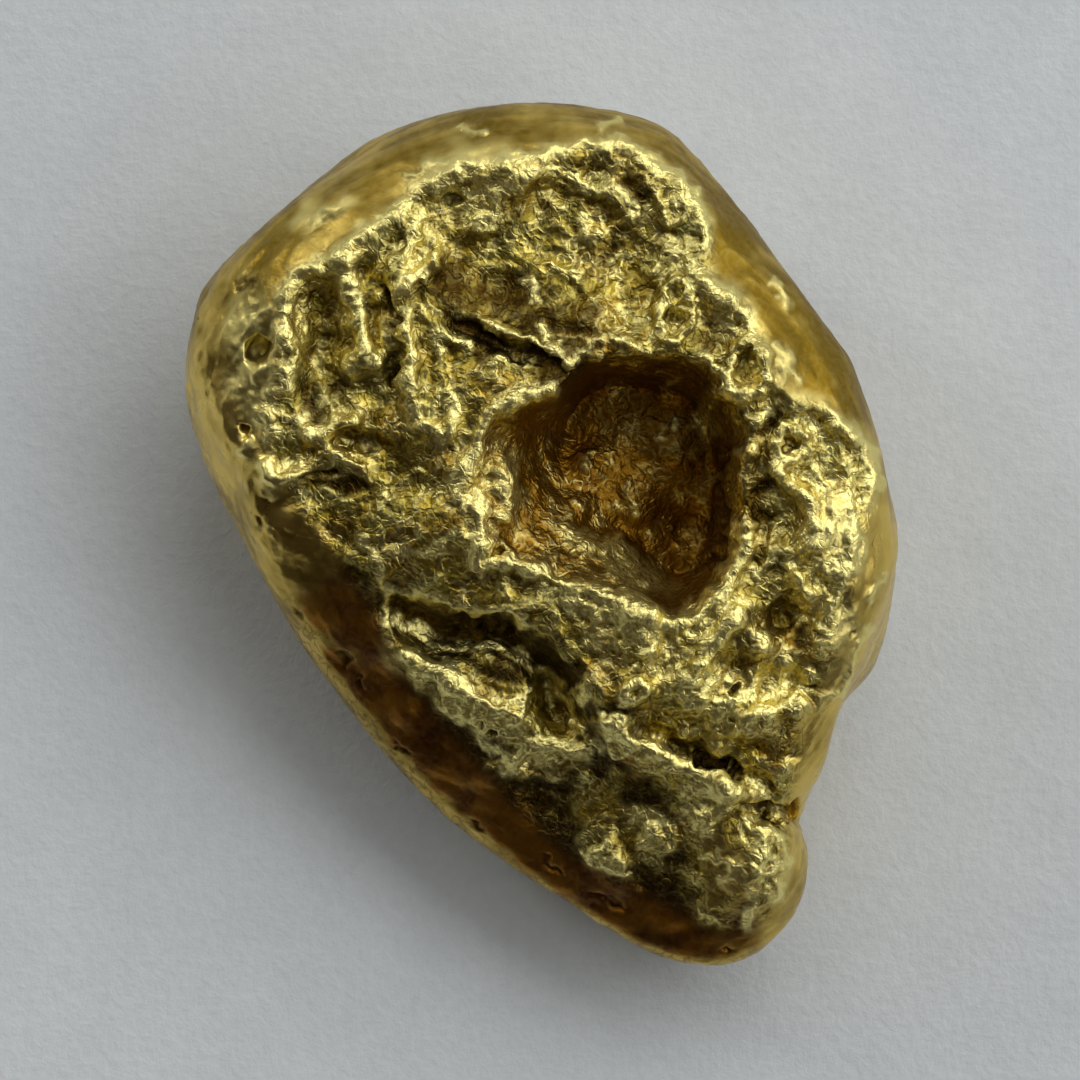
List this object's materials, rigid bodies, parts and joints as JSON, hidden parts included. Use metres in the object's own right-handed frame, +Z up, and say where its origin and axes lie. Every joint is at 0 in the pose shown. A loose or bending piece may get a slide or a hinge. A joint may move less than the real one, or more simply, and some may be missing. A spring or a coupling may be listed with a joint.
{
  "type": "gold nugget",
  "caption": "Thick, stream-worn lump of native gold with a deep pit, a rimmed shallow basin, a fold and a round knob at its narrow end.",
  "frame": {"origin": "on the resting plane, under the middle of the nugget's bounding box", "axes": "+Z up, the way the nugget rests; +Y towards the broad end, away from the knob; +X to the right seen from above with the broad end away"},
  "size_m": [0.0124, 0.015, 0.0059],
  "materials": {
    "gold": "satin"
  },
  "bodies": {
    "root": {"nugget": "gold"}
  },
  "joints": []
}
